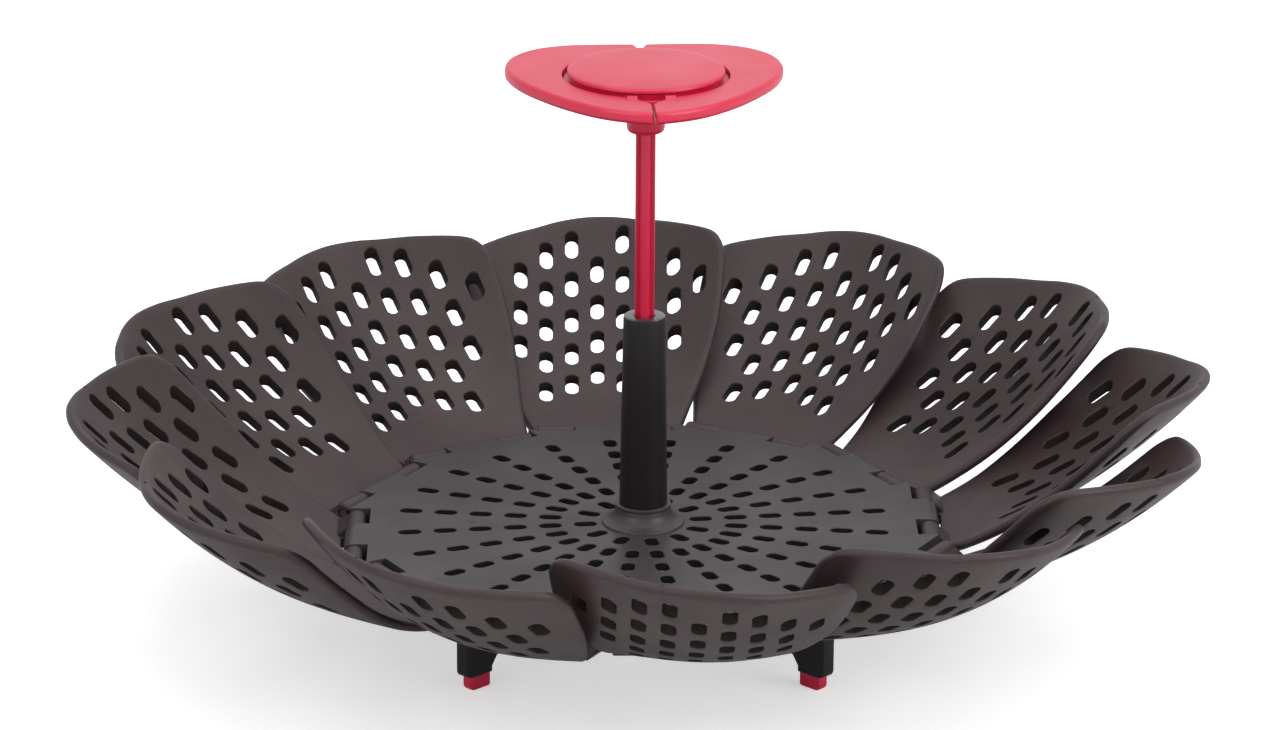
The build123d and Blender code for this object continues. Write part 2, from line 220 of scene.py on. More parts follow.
class Shape:
    """A mesh under construction, in millimetres."""

    def __init__(self) -> None:
        """Start with nothing."""
        self.bm = bmesh.new()

    def prism(self, outline: Iterable[Point2], low: float, high: float,
              place: Matrix = Matrix.Identity(4)) -> Verts:
        """Add a prism on an outline.

        Args:
            outline: corners in plan, in order.
            low: height of its bottom.
            high: height of its top.
            place: turns the upright prism into its place.

        Returns:
            Its vertices.
        """
        base = [self.bm.verts.new((x, y, low)) for x, y in outline]
        face = self.bm.faces.new(base)
        raised = bmesh.ops.extrude_face_region(self.bm, geom=[face])["geom"]
        top = [v for v in raised if isinstance(v, BMVert)]
        bmesh.ops.translate(self.bm, verts=top, vec=(0, 0, high - low))
        bmesh.ops.recalc_face_normals(self.bm, faces=unique(f for v in base + top for f in v.link_faces))
        self.move(base + top, place)
        return base + top

    def move(self, verts: Iterable[BMVert], place: Matrix) -> None:
        """Move vertices by a matrix."""
        bmesh.ops.transform(self.bm, matrix=place, verts=unique(verts))

    def turned(self, profile: Sequence[Point2], steps: int = TURNED_STEPS) -> Verts:
        """Add a closed ring turned about Z.

        Args:
            profile: closed section as radius and height pairs.
            steps: segments round the axis.

        Returns:
            Its vertices.
        """
        verts = [self.bm.verts.new((r, 0, z)) for r, z in profile]
        edges = [self.bm.edges.new(pair) for pair in zip(verts, verts[1:] + verts[:1])]
        known = set(self.bm.verts) - set(verts)
        bmesh.ops.spin(self.bm, geom=verts + edges, cent=(0, 0, 0), axis=(0, 0, 1), angle=2 * pi, steps=steps,
                       use_merge=True)
        bmesh.ops.remove_doubles(self.bm, verts=[v for v in self.bm.verts if v not in known], dist=MERGE)
        bmesh.ops.delete(self.bm, geom=[e for e in self.bm.edges if e.is_wire], context="EDGES")
        ring = [v for v in self.bm.verts if v not in known]
        bmesh.ops.recalc_face_normals(self.bm, faces=unique(f for v in ring for f in v.link_faces))
        return ring

    def rod_along_x(self, radius: float, length: float, middle: Vector, steps: int = 40,
                    rim: float = 0.0) -> Verts:
        """Add a round bar along x.

        Args:
            radius: its radius.
            length: its length.
            middle: its middle.
            steps: segments round it.
            rim: width of the rounding at its ends.

        Returns:
            Its vertices.
        """
        turn = Matrix.Translation(middle) @ Matrix.Rotation(pi / 2, 4, "Y")
        verts = bmesh.ops.create_cone(self.bm, cap_ends=True, segments=steps, radius1=radius, radius2=radius,
                                      depth=length, matrix=turn)["verts"]
        if rim:
            around = unique(e for v in verts for e in v.link_edges)
            return self.rounded([e for e in around if abs(e.verts[0].co.x - e.verts[1].co.x) < TINY], rim, FINE)
        return verts

    def block(self, low: Vector, high: Vector, rim: float = 0.0) -> Verts:
        """Add a box, with rounded edges if a rim is given.

        Args:
            low: its lowest corner.
            high: its highest corner.
            rim: width of the rounding.

        Returns:
            Its vertices.
        """
        place = Matrix.Translation((low + high) / 2) @ Matrix.Diagonal((*(high - low), 1))
        verts = bmesh.ops.create_cube(self.bm, size=1.0, matrix=place)["verts"]
        if rim:
            return self.rounded(unique(e for v in verts for e in v.link_edges), rim, SMALL)
        return verts

    def rounded(self, edges: Iterable[BMEdge], width: float, segments: int,
                clamp: bool = True) -> Verts:
        """Round edges.

        Args:
            edges: the edges.
            width: width of the rounding.
            segments: facets across it.
            clamp: whether the width shrinks where edges are short.

        Returns:
            The vertices of the faces that were made or touched.
        """
        return bmesh.ops.bevel(self.bm, geom=list(edges), offset=width, offset_type="OFFSET", segments=segments,
                               profile=0.5, affect="EDGES", material=-1, clamp_overlap=clamp)["verts"]

    def divide(self, cell: float, reach: float) -> None:
        """Divide the faces by upright planes along x and y.

        Args:
            cell: distance of the planes.
            reach: how far from the middle they stand.
        """
        steps = int(reach / cell)
        for normal in (Vector((1, 0, 0)), Vector((0, 1, 0))):
            for k in range(-steps, steps + 1):
                bmesh.ops.bisect_plane(self.bm, geom=[*self.bm.verts, *self.bm.edges, *self.bm.faces],
                                       plane_co=normal * cell * (k + CELL_SHIFT), plane_no=normal)

    def sharp_edges(self, angle: float) -> Edges:
        """Find the edges whose faces meet at more than an angle in degrees."""
        self.bm.normal_update()
        return [e for e in self.bm.edges if e.is_manifold and e.calc_face_angle(0.0) > radians(angle)]

    def mark(self, chosen: Callable[[BMFace], bool]) -> None:
        """Give the second finish to the faces that a test picks.

        Args:
            chosen: the test.
        """
        self.bm.normal_update()
        for face in self.bm.faces:
            if chosen(face):
                face.material_index = 1

    def as_mesh(self, name: str) -> bpy.types.Mesh:
        """Hand the mesh over and close the construction.

        Args:
            name: the mesh's name.

        Returns:
            The mesh.
        """
        bmesh.ops.dissolve_degenerate(self.bm, dist=SLIVER, edges=self.bm.edges)
        # Many-sided faces are split here, at full size, where the splitting is exact
        bmesh.ops.triangulate(self.bm, faces=[f for f in self.bm.faces if len(f.verts) > 4])
        mesh = bpy.data.meshes.new(name)
        self.bm.normal_update()
        self.bm.to_mesh(mesh)
        self.bm.free()
        return mesh

    def take(self, other: "Shape") -> None:
        """Lay another shape beside this one, and use it up.

        Args:
            other: the other shape.
        """
        part = other.as_mesh("part")
        self.bm.from_mesh(part)
        bpy.data.meshes.remove(part)

    def cut_by(self, tools: "Shape", operation: str = "DIFFERENCE") -> "Shape":
        """Cut this shape by the closed solids of another one, or join them.

        Args:
            tools: the cutting solids, used up by the cut.
            operation: DIFFERENCE, INTERSECT or UNION.

        Returns:
            The shape that is left.
        """
        body, cutter = (bpy.data.objects.new("cut", s.as_mesh("cut")) for s in (self, tools))
        for obj in (body, cutter):
            bpy.context.scene.collection.objects.link(obj)
        modifier = body.modifiers.new("cut", "BOOLEAN")
        modifier.operation = operation
        modifier.solver = "EXACT"
        modifier.object = cutter
        graph = bpy.context.evaluated_depsgraph_get()
        result = Shape()
        result.bm.from_object(body, graph)
        for obj in (body, cutter):
            mesh = obj.data
            bpy.data.objects.remove(obj)
            bpy.data.meshes.remove(mesh)
        return result


@dataclass(frozen=True)
class Finish:
    """A moulded plastic: even colour, fine grain and faint cloudiness.

    A moulded face is never mirror-flat: a fine grain breaks the highlight, and the pigment clouds a little.
    """

    name: str
    colour: str
    cloud: str
    roughness: float
    grain_mm: float
    grain_depth_mm: float
    cloud_mm: float = 22.0
    # How much lighter and darker the grain's points are, and how much the gloss wanders with the clouds
    speckle: float = 0.35
    gloss_spread: float = 0.05
    # Share of the full reflection: low on matt nylon, whose grain swallows most of it
    sheen_level: float = 0.26
    # Typical of nylon and polypropylene
    ior: float = 1.53

    def material(self) -> bpy.types.Material:
        """Build the material once and return it.

        Returns:
            The material.
        """
        known = bpy.data.materials.get(self.name)
        if known:
            return known
        made = bpy.data.materials.new(self.name)
        made.use_nodes = True
        tree = made.node_tree
        tree.nodes.clear()
        place = add_node(tree, "TexCoord").outputs["Object"]
        clouds = add_node(tree, "TexNoise", Vector=place, Scale=1 / (self.cloud_mm * MM), Detail=3.0,
                          Roughness=0.55)
        grain = add_node(tree, "TexNoise", Vector=place, Scale=1 / (self.grain_mm * MM), Detail=2.0,
                         Roughness=0.6)
        cloud_ramp = add_node(tree, "MapRange", Value=clouds.outputs["Fac"], From_Min=0.35, From_Max=0.65)
        tint = add_node(tree, "Mix", {"data_type": "RGBA"}, Factor=cloud_ramp.outputs["Result"],
                        A=linear(self.colour), B=linear(self.cloud))
        speckle = add_node(tree, "MapRange", Value=grain.outputs["Fac"], From_Min=0.3, From_Max=0.7,
                           To_Min=1 - self.speckle / 2, To_Max=1 + self.speckle / 2)
        dotted = add_node(tree, "VectorMath", {"operation": "SCALE"}, Vector=tint.outputs["Result"],
                          Scale=speckle.outputs["Result"])
        gloss = add_node(tree, "MapRange", Value=clouds.outputs["Fac"], From_Min=0.3, From_Max=0.7,
                         To_Min=self.roughness - self.gloss_spread, To_Max=self.roughness + self.gloss_spread)
        bump = add_node(tree, "Bump", Height=grain.outputs["Fac"], Distance=self.grain_depth_mm * MM,
                        Strength=1.0)
        shader = add_node(tree, "BsdfPrincipled", Base_Color=dotted.outputs["Vector"],
                          Roughness=gloss.outputs["Result"], Normal=bump.outputs["Normal"], IOR=self.ior,
                          Specular_IOR_Level=self.sheen_level)
        add_node(tree, "OutputMaterial", Surface=shader.outputs["BSDF"])
        return made


# Glass-filled nylon, spark-eroded mould: matt, grey-brown, with a fine salt of lighter glass
PETAL_NYLON = Finish("petal_nylon", "#392c2e", "#33282a", roughness=0.46, grain_mm=0.55, grain_depth_mm=0.02)
# The same nylon on the polished side of the mould: a little bluer and smoother
PLATE_NYLON = Finish("plate_nylon", "#3c383a", "#373336", roughness=0.42, grain_mm=0.5, grain_depth_mm=0.012,
                     speckle=0.25)
# Walls of the slots: dull, and painted dark, a painted shade that stands in for the shade inside the slots
SLOT_WALL_PAINTED_SHADE = Finish("slot_wall_painted_shade", "#1c1716", "#191413", roughness=0.6, grain_mm=0.55, grain_depth_mm=0.02,
                   sheen_level=0.1)
# Carbon-black nylon of the handle tube and legs: satin
BLACK_NYLON = Finish("black_nylon", "#1f1b1c", "#1b1819", roughness=0.38, grain_mm=0.6, grain_depth_mm=0.012,
                     speckle=0.2)
# The end of the handle tube: polished and glossier, and painted a lighter grey, a painted highlight for the gleam
# on its top
POLISHED_NYLON_PAINTED_HIGHLIGHT = Finish("polished_nylon_painted_highlight", "#3a3a3c", "#363638", roughness=0.16, grain_mm=0.6,
                        grain_depth_mm=0.004, speckle=0.05, sheen_level=0.8)
# Pigmented polypropylene with a soft gloss: bright crimson with a milky highlight
RED_PLASTIC = Finish("crimson_plastic", "#cc1440", "#c5113c", roughness=0.34, grain_mm=0.7,
                     grain_depth_mm=0.008, speckle=0.06, sheen_level=0.5)


@dataclass
class Workshop:
    """Turns finished shapes into pieces of the basket."""

    done: int = 0

    def piece(self, mesh: bpy.types.Mesh, name: str, body: str, slot: Slot, finish: Finish,
              replaced: Sequence[str], place: Matrix = Matrix.Identity(4), smooth: float = 36.0,
              flat_level: bool = False, second: Optional[Finish] = None) -> bpy.types.Object:
        """Place a mesh, dress it and let it ride.

        Args:
            mesh: the mesh in millimetres.
            name: the piece's name.
            body: the CAD body that it rides on.
            slot: the record's material slot; not used.
            finish: what it is made of.
            replaced: CAD nodes that it stands for.
            place: its place in the row frame, in millimetres.
            smooth: edges sharper than this angle in degrees stay sharp.
            flat_level: whether level faces are shaded flat.
            second: what the faces with the material index 1 are made of.

        Returns:
            The piece.
        """
        own = mesh.copy()
        own.name = name
        own.transform(Matrix.Scale(MM, 4) @ place)
        own.shade_smooth()
        own.set_sharp_from_angle(angle=radians(smooth))
        if flat_level:
            for polygon in own.polygons:
                polygon.use_smooth = abs(polygon.normal.z) < LEVEL
        for used in filter(None, (finish, second)):
            own.materials.append(used.material())
        obj = bpy.data.objects.new(name, own)
        bpy.context.scene.collection.objects.link(obj)
        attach(obj, body)
        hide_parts(*replaced)
        self.done += 1
        LOG.info("%s rides on %s: %d faces", name, body, len(own.polygons))
        return obj


def joint(name: str) -> dict:
    """Look up a joint of the frame by its name."""
    return next(j for j in frame["joints"] if j["name"] == name)


def top_mm(node: str) -> float:
    """Height of a CAD node's top in millimetres."""
    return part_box(node)[1].z / MM


def bottom_mm(node: str) -> float:
    """Height of a CAD node's bottom in millimetres."""
    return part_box(node)[0].z / MM


def side_frame(k: int) -> Matrix:
    """Frame of side k in millimetres: origin on the hinge axis, x along it, y outwards.

    Args:
        k: number of the side.

    Returns:
        The frame as a matrix.
    """
    hinge = joint(f"petal_{k + 1:02d}_hinge")
    x = Vector(hinge["axis"]).normalized()
    y = Vector((0, 0, 1)).cross(x)
    turn = Matrix((x, y, Vector((0, 0, 1)))).transposed().to_4x4()
    return Matrix.Translation(Vector(hinge["pos_m"]) / MM) @ turn


@dataclass(frozen=True)
class SlotCutter:
    """Cutter of a slot with half-round ends and softened mouths on both faces of a sheet."""

    width: float
    length: float
    rim: float
    overrun: float
    # Depth of the softening as a share of its width
    rim_depth: float = 1.2

    def add_to(self, tools: Shape, place: Callable[[float, float, float, bool], Vector]) -> None:
        """Add the cutter, in rings from its top to its bottom.

        Args:
            tools: where it goes.
            place: turns x and y in the slot, a height over a face, and whether that is the sheet's
                lower face, into a place.
        """
        straight, soft = (self.length - self.width) / 2, self.rim * self.rim_depth
        rings = []
        for flare, rise, lower in ((self.rim, self.overrun, False), (self.rim, 0.0, False), (0.0, -soft, False),
                                   (0.0, soft, True), (self.rim, 0.0, True), (self.rim, -self.overrun, True)):
            ring = bmesh.ops.create_circle(tools.bm, cap_ends=False, segments=SLOT_STEPS,
                                           radius=self.width / 2 + flare)["verts"]
            for vert in ring:
                end = straight if vert.co.y > 0 else -straight
                vert.co = place(vert.co.x, vert.co.y + end, rise, lower)
            rings.append(ring)
        loops = [unique(e for v in ring for e in v.link_edges) for ring in rings]
        for above, below in zip(loops, loops[1:]):
            bmesh.ops.bridge_loops(tools.bm, edges=above + below)
        for ring in (rings[0], rings[-1]):
            bmesh.ops.contextual_create(tools.bm, geom=ring)
        faces = unique(f for ring in rings for v in ring for f in v.link_faces)
        bmesh.ops.recalc_face_normals(tools.bm, faces=faces)


@dataclass
class Hinge:
    """Snap-on hinge between a petal and the plate, in the frame of one side."""

    pin_radius: float = 1.2
    pin_play: float = 0.05
    knuckle_radius: float = 2.5
    knuckle_width: float = 9.9
    knuckle_rim: float = 0.8
    side_play: float = 0.2
    tongue_width: float = 14.5
    tongue_radius: float = 2.6
    tongue_corner: float = 2.3
    tongue_rim: float = 0.3
    gap: float = 0.9
    mouth: float = 2.0
    heel_overlap: float = 1.4
    heel_thickness: float = 1.2
    stop_gap: float = 0.1
    skirt_depth: float = 5.2
    # Shares of the knuckle's radius: its neck, and the neck's height at its outer end
    neck_share: float = 0.7
    neck_fall: float = 0.9
    # Where the ramp to the petal ends, and how far its upper and lower edges lie under the petal's face
    ramp_reach: float = 5.0
    ramp_sinks: tuple[float, float] = (0.45, 1.35)
    ramp_rim: float = 0.3
    # The pins end this far inside the knuckles
    pin_inset: float = 0.4

    @property
    def reach(self) -> float:
        """Distance of the axis from the plate's edge."""
        return self.gap + self.knuckle_radius

    @property
    def knuckle_start(self) -> float:
        """Distance of the knuckles from the hinge's middle."""
        return self.tongue_width / 2 + self.side_play

    @property
    def root_half(self) -> float:
        """Half width of the whole hinge."""
        return self.knuckle_start + self.knuckle_width

    def knuckle(self, side: int, height: Callable[[float, float], float]) -> Shape:
        """Build one knuckle with its heel and the ramp that runs out on the petal.

        Args:
            side: 1 or -1, towards +x or -x.
            height: the petal's upper face over the axis.

        Returns:
            The shape.
        """
        middle = Vector((side * (self.knuckle_start + self.knuckle_width / 2), 0, 0))
        half = self.knuckle_width / 2
        heel_top = self.tongue_radius - self.skirt_depth - self.stop_gap
        heel_low = heel_top - self.heel_thickness
        heel_end = self.reach + self.heel_overlap
        neck = self.knuckle_radius * self.neck_share
        upper, lower = self.ramp_sinks
        barrel = Shape()
        barrel.rod_along_x(self.knuckle_radius, self.knuckle_width, middle, rim=self.knuckle_rim)
        section = [
            (-heel_end, heel_top), (-neck, heel_top), (-neck, 0), (0, neck), (neck, neck * self.neck_fall),
            (self.ramp_reach, -upper), (self.ramp_reach, -lower), (self.knuckle_radius, heel_low),
            (-heel_end, heel_low),
        ]
        body = Shape()
        width = half - self.knuckle_rim / 2
        for vert in body.prism(section, middle.x - width, middle.x + width, ALONG_X):
            if vert.co.y > self.ramp_reach - MERGE:
                vert.co.z += height(vert.co.x, vert.co.y)
        body.rounded(body.sharp_edges(angle=25), self.ramp_rim, COARSE)
        whole = barrel.cut_by(body, "UNION")
        bore = Shape()
        bore.rod_along_x(self.pin_radius + self.pin_play, self.knuckle_width + 2 * OVERRUN, middle)
        mouth = Shape()
        mouth.block(middle + Vector((-half - OVERRUN, -2 * self.knuckle_radius, -self.mouth / 2)),
                    middle + Vector((half + OVERRUN, 0, self.mouth / 2)))
        return whole.cut_by(bore).cut_by(mouth)


@dataclass
class Petal:
    """Twisted, dished leaf with staggered slots, in the frame of its side."""

    hinge: Hinge
    thickness: float = 2.4
    reach: float = 68.6
    half_width: float = 34.4
    tip_margin: float = 1.8
    root_start: float = 0.6
    root_depth: float = 4.1
    root_drop: float = 2.04
    rise: float = 43.9
    root_slope: float = 12.8
    tip_slope: float = 48.9
    dish: float = 20.8
    twist_rise: float = 8.8
    lean: float = 4.6
    shift: float = 1.0
    notch: float = 3.6
    notch_corner: float = 2.2
    # How far the leaf's root stands inside the hinge's end: at its start, and further out
    root_insets: tuple[float, float] = (0.9, 0.7)
    root_bend: float = 0.6
    slot: SlotCutter = SlotCutter(width=3.5, length=7.2, rim=0.16, overrun=1.5)
    # Degrees from level: the plane on which the slots are laid out, and the way the mould's pins draw
    slot_tilt: float = 18.0
    slot_draw: float = 5.0
    column_shift: float = 1.55
    # Only faces this near to a slot's mouth can be its walls, at these depths as shares of the thickness
    # and with their normals at least this far off the sheet's
    wall_margin: float = 0.6
    wall_depths: Point2 = (0.1, 0.9)
    wall_turn: float = 0.8
    mesh_step: float = 1.2
    # Step over which a slope is measured, cuts round the rim, and rounds of the two searches
    probe: float = 0.01
    rim_cuts: int = 5
    inset_rounds: int = 6
    drop_rounds: int = 8
    # Rise of the sides, from root to tip: shares of the dish
    dish_shares: tuple[float, ...] = (0.08, 0.52, 0.76, 1.0)
    # Half outline: shares of the half width and of the reach
    outline_shares: tuple[Point2, ...] = (
        (0.542, 0.066), (0.657, 0.191), (0.781, 0.312), (0.903, 0.449), (0.954, 0.536), (1.0, 0.648),
        (0.993, 0.698), (0.960, 0.743), (0.889, 0.786), (0.749, 0.846), (0.585, 0.903),
        (0.404, 0.949), (0.208, 0.986), (0.0, 1.0))
    column_pitch_share: float = 0.1939
    row_pitch_share: float = 0.1603
    # Columns from the middle outwards: place of the first slot as a share of the reach, number of slots
    columns: tuple[tuple[float, int], ...] = ((0.410, 4), (0.352, 5), (0.300, 5), (0.516, 3), (0.719, 1))

    def height(self, x: float, y: float) -> float:
        """Height of the upper face over the hinge axis.

        Args:
            x: place along the hinge.
            y: distance from the hinge axis.

        Returns:
            The height.
        """
        run = self.reach + self.tip_margin
        u, s = y / run, x / self.half_width
        weights = ((1 - u) ** 3, 3 * (1 - u) ** 2 * u, 3 * (1 - u) * u * u, u ** 3)
        spine = (0.0, run / 3 * tan(radians(self.root_slope)),
                 self.rise - run / 3 * tan(radians(self.tip_slope)), self.rise)
        middle = sum(w * z for w, z in zip(weights, spine))
        bow = self.dish * sum(w * share for w, share in zip(weights, self.dish_shares))
        return middle - self.root_drop + bow * s * s + self.twist_rise * u * s

    def normal(self, x: float, y: float) -> Vector:
        """Direction square to the upper face at a place in plan."""
        step = self.probe
        return Vector((self.height(x - step, y) - self.height(x + step, y),
                       self.height(x, y - step) - self.height(x, y + step), 2 * step)).normalized()

    def half_outline(self) -> tuple[list[Point2], list[Point2]]:
        """Middle line of the round rim in plan, half a thickness inside the outline.

        Returns:
            The side from the root to the shoulder, and the end from the shoulder to the tip,
            as half widths and distances.
        """
        half = self.thickness / 2
        first, second = (self.hinge.root_half - inset for inset in self.root_insets)
        places = [(first, self.root_start), (second, self.root_depth * self.root_bend)]
        places += [(w * self.half_width, y * self.reach) for w, y in self.outline_shares]
        curve = smooth_through(places, self.mesh_step / 4)
        inner = []
        for before, here, after in zip(curve[:1] + curve, curve, curve[1:] + curve[-1:]):
            along = (Vector(after) - Vector(before)).normalized()
            inner.append((here[0] - along.y * half, here[1] + along.x * half))
        inner[-1] = (0.0, self.reach - half)
        inner = [(x, max(y, self.root_start + half)) for x, y in inner]
        widest = max(range(len(inner)), key=lambda n: inner[n][0])
        shoulder = next(n for n in range(widest, len(inner) - 1)
                        if inner[n][0] - inner[n + 1][0] > inner[n + 1][1] - inner[n][1])
        return evenly(inner[:shoulder + 1], self.mesh_step), evenly(inner[shoulder:], self.mesh_step)

    def blade(self) -> Shape:
        """Build the leaf with its half-round rim, without slots.

        Returns:
            The shape.
        """
        side, end = self.half_outline()
        shoulder_width, shoulder = side[-1]
        right = [(x / shoulder_width, y - shoulder) for x, y in end]
        across = [(-share, rise) for share, rise in right] + right[-2::-1]
        half = self.thickness / 2
        lean = tan(radians(self.lean))
        shape = Shape()
        bm = shape.bm
        bmesh.ops.create_grid(bm, x_segments=len(across) - 1, y_segments=len(side) - 1, size=1.0)
        middle, up, out = (bm.verts.layers.float_vector.new(n) for n in ("middle", "up", "out"))
        for vert in bm.verts:
            width, y = side[round((vert.co.y + 1) / 2 * (len(side) - 1))]
            share, rise = across[round((vert.co.x + 1) / 2 * (len(across) - 1))]
            y += rise * (y / shoulder) ** 3
            goal = Vector((share * width + self.shift * min(1.0, y / self.root_depth) ** 3 - lean * y, y))
            place = goal.copy()
            for _ in range(self.inset_rounds):
                place = goal + self.normal(*place).xy * half
            vert[up] = self.normal(*place)
            vert[middle] = Vector((*place, self.height(*place))) - vert[up] * half
            vert.co = vert[middle]
        bm.normal_update()
        rims = [e for e in bm.edges if e.is_boundary]
        for vert in unique(v for e in rims for v in e.verts):
            near = [e.other_vert(vert).co for e in vert.link_edges if e.is_boundary]
            inside = sum((f.calc_center_median() for f in vert.link_faces), Vector()) / len(vert.link_faces)
            square = (near[0] - near[1]).cross(vert[up]).normalized()
            vert[out] = square if square.dot(vert.co - inside) > 0 else -square
        lower = bmesh.ops.duplicate(bm, geom=list(bm.faces))["geom"]
        bmesh.ops.reverse_faces(bm, faces=[f for f in lower if isinstance(f, BMFace)])
        below = {v for v in lower if isinstance(v, BMVert)}
        for vert in bm.verts:
            vert.co = vert[middle] + vert[up] * (-half if vert in below else half)
        sheet = set(bm.verts)
        rims = {e for e in bm.edges if e.is_boundary}
        wall = bmesh.ops.bridge_loops(bm, edges=[e for e in bm.edges if e in rims])["faces"]
        rungs = [e for e in unique(e for f in wall for e in f.edges) if e not in rims]
        bmesh.ops.subdivide_edges(bm, edges=rungs, cuts=self.rim_cuts, use_grid_fill=True)
        for vert in bm.verts:
            if vert not in sheet:
                turn = pi / 2 * (1 - (vert.co - vert[middle]).dot(vert[up]) / half)
                vert.co = vert[middle] + (vert[up] * cos(turn) + vert[out] * sin(turn)) * half
        bmesh.ops.recalc_face_normals(bm, faces=bm.faces)
        return shape

    def slot_middles(self) -> list[Point2]:
        """Places of the slots on the tilted plane through the hinge axis.

        Returns:
            Places along the hinge and up the plane.
        """
        places = []
        for n, (start_share, count) in enumerate(self.columns):
            for column in {-n, n}:
                for row in range(count):
                    places.append((column * self.column_pitch_share * self.half_width - self.column_shift,
                                   (start_share + row * self.row_pitch_share) * self.reach))
        return places

    def on_top(self, x: float, along: float) -> Vector:
        """Carry a place on the tilted plane over to the upper face.

        Args:
            x: place along the hinge.
            along: distance from the hinge axis, up the tilted plane.

        Returns:
            The place on the upper face.
        """
        tilt, off, y = radians(self.slot_tilt), 0.0, along
        for _ in range(self.drop_rounds):
            y = along * cos(tilt) - off * sin(tilt)
            off = (self.height(x, y) - along * sin(tilt)) / cos(tilt)
        return Vector((x, y, self.height(x, y)))

    def slot_cutters(self) -> Shape:
        """Build the cutters: laid out on the tilted plane, with mouths that follow both faces.

        Returns:
            The cutters.
        """
        lean = radians(self.slot_draw)
        draw = Vector((0, -sin(lean), cos(lean)))
        tools = Shape()
        for middle in self.slot_middles():
            def place(x: float, y: float, rise: float, lower: bool) -> Vector:
                """Put a point of the cutter over or under the petal's upper or lower face."""
                top = self.on_top(middle[0] + x, middle[1] + y)
                return top + draw * (rise - lower * self.thickness / self.normal(top.x, top.y).dot(draw))
            self.slot.add_to(tools, place)
        return tools

    def is_slot_wall(self, face: BMFace, mouths: Sequence[Vector]) -> bool:
        """Tell whether a face stands in the sheet's thickness and within a slot, where the painted shade of the
        slots goes.

        Args:
            face: the face.
            mouths: middles of the slots on the upper face.

        Returns:
            Whether it is a slot's wall.
        """
        x, y, z = face.calc_center_median()
        normal = self.normal(x, y)
        depth = (self.height(x, y) - z) * normal.z / self.thickness
        shallow, deep = self.wall_depths
        across, along = self.slot.width / 2 + self.wall_margin, self.slot.length / 2 + self.wall_margin
        return (shallow < depth < deep and abs(face.normal.dot(normal)) < self.wall_turn
                and any(abs(x - mouth.x) < across and abs(y - mouth.y) < along for mouth in mouths))

    def mesh(self) -> bpy.types.Mesh:
        """Build the whole petal.

        Returns:
            Its mesh, in the frame of its side.
        """
        start, corner, beyond = self.hinge.knuckle_start, self.notch_corner, self.reach
        notch = Shape()
        notch.prism(rounded_outline([(-start, -OVERRUN, 0), (start, -OVERRUN, 0), (start, self.notch, corner),
                                     (-start, self.notch, corner)]), -beyond, beyond)
        blade = self.blade().cut_by(self.slot_cutters())
        mouths = [self.on_top(*middle) for middle in self.slot_middles()]
        # The slots' walls get the second finish, a painted shade
        blade.mark(lambda face: self.is_slot_wall(face, mouths))
        blade = blade.cut_by(notch)
        for side in (-1, 1):
            blade.take(self.hinge.knuckle(side, self.height))
        return blade.as_mesh("petal")

    def make(self, shop: Workshop) -> None:
        """Put a petal on every hinge of the frame.

        Args:
            shop: takes the pieces.
        """
        mesh = self.mesh()
        for k in range(SIDES):
            name = f"petal_{k + 1:02d}"
            shop.piece(mesh, f"{name}_leaf", name, Slot.PETAL, PETAL_NYLON, [name], side_frame(k),
                       second=SLOT_WALL_PAINTED_SHADE)


